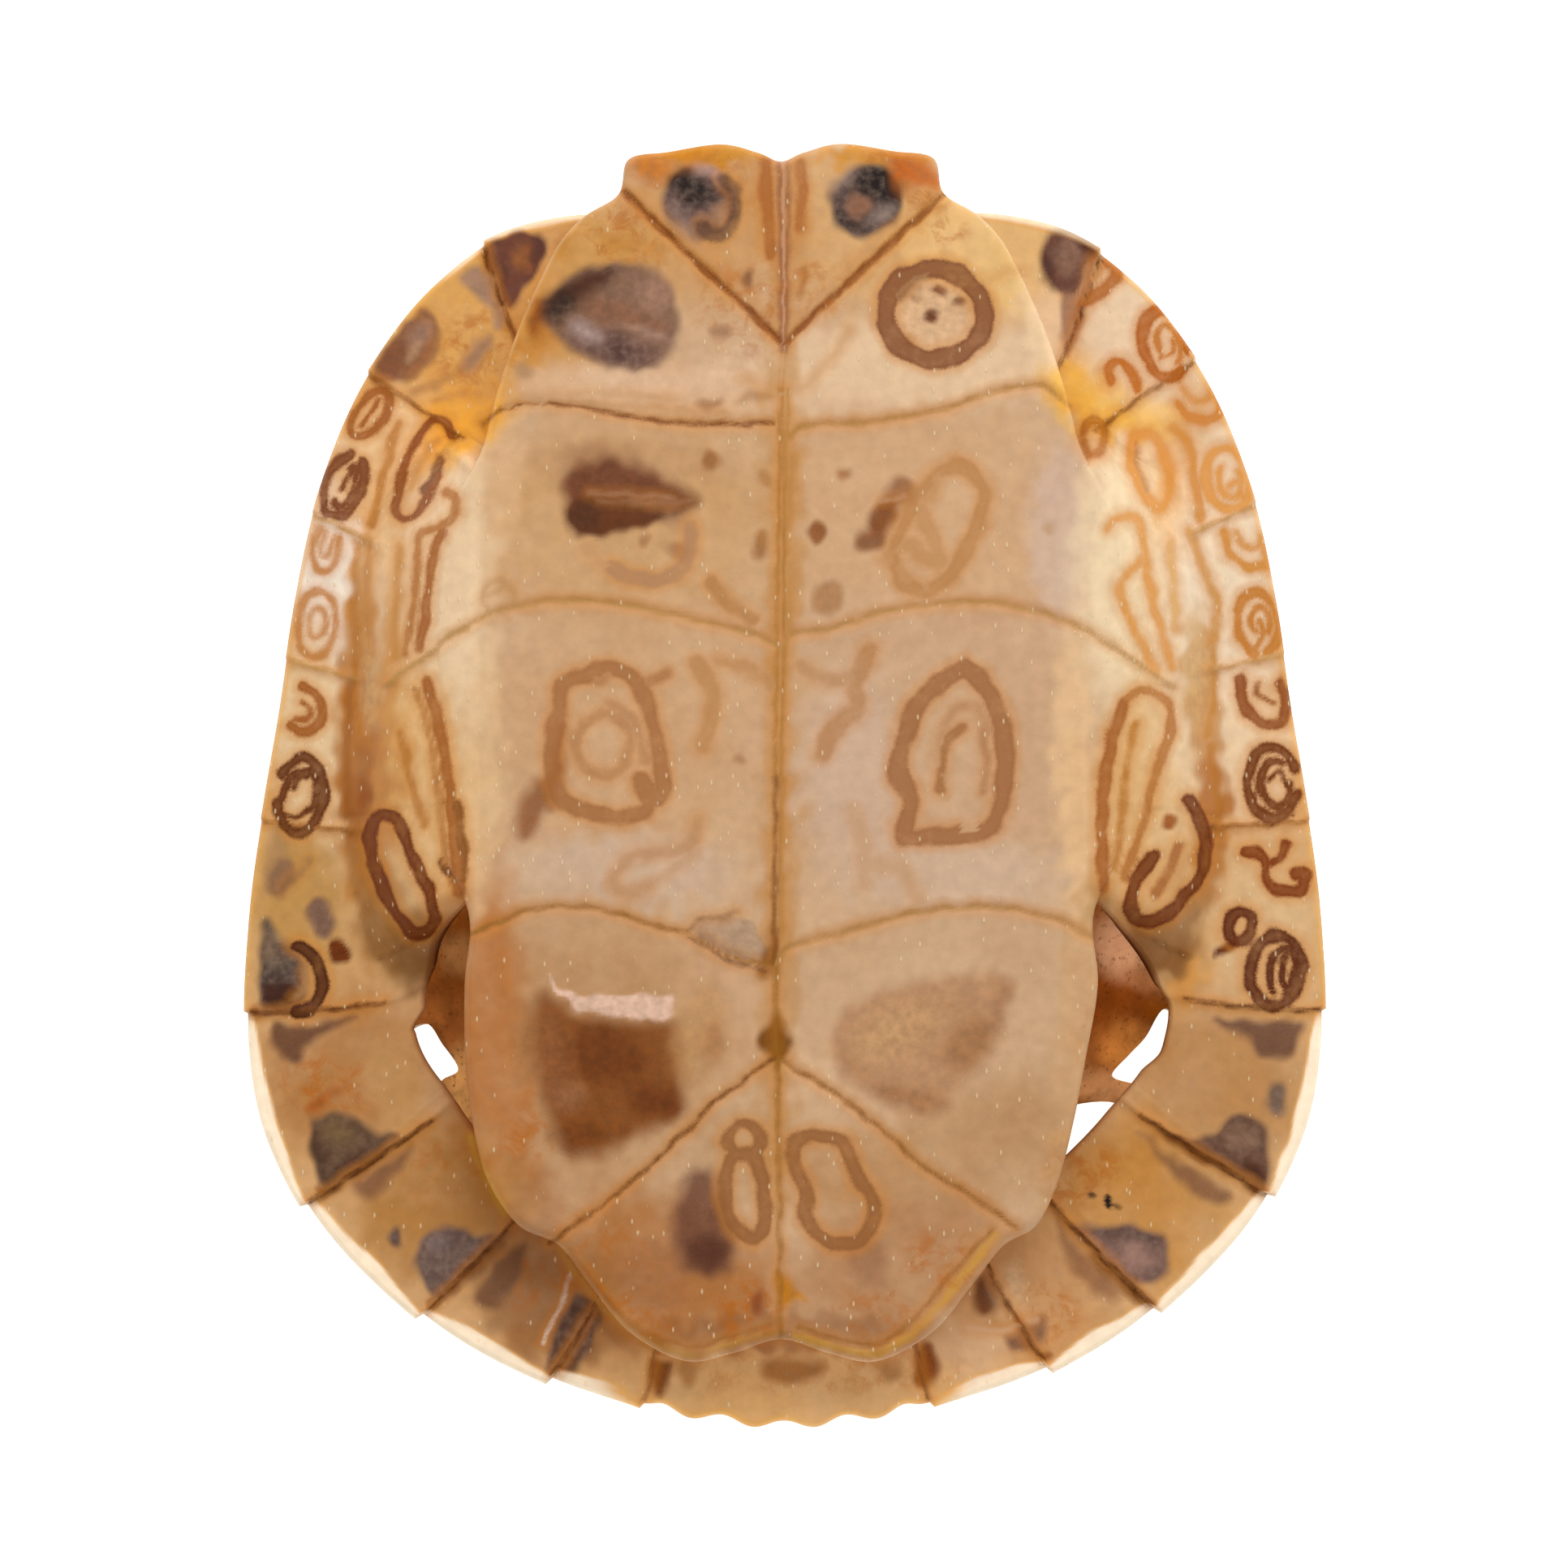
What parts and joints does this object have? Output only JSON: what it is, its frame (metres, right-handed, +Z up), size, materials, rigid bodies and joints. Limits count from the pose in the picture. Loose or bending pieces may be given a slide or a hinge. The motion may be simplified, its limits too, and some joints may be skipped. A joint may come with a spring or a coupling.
{
  "type": "slider turtle shell",
  "caption": "Dried shell of a young slider turtle, lying on its back: domed carapace below, flat plastron on top, side bridges between, open at head, tail and legs.",
  "frame": {"origin": "centre of the underside of the bounding box, on the worn flat at the top of the dome that the shell lies on", "axes": "+Z up, out of the plastron; +Y towards the head end; +X towards the side that lies on the right when the plastron is seen from above with the head end up"},
  "size_m": [0.0876, 0.1023, 0.042],
  "materials": {
    "horn_and_bone": "satin dry horn over bone"
  },
  "bodies": {
    "root": {"shell": "horn_and_bone"}
  },
  "joints": []
}
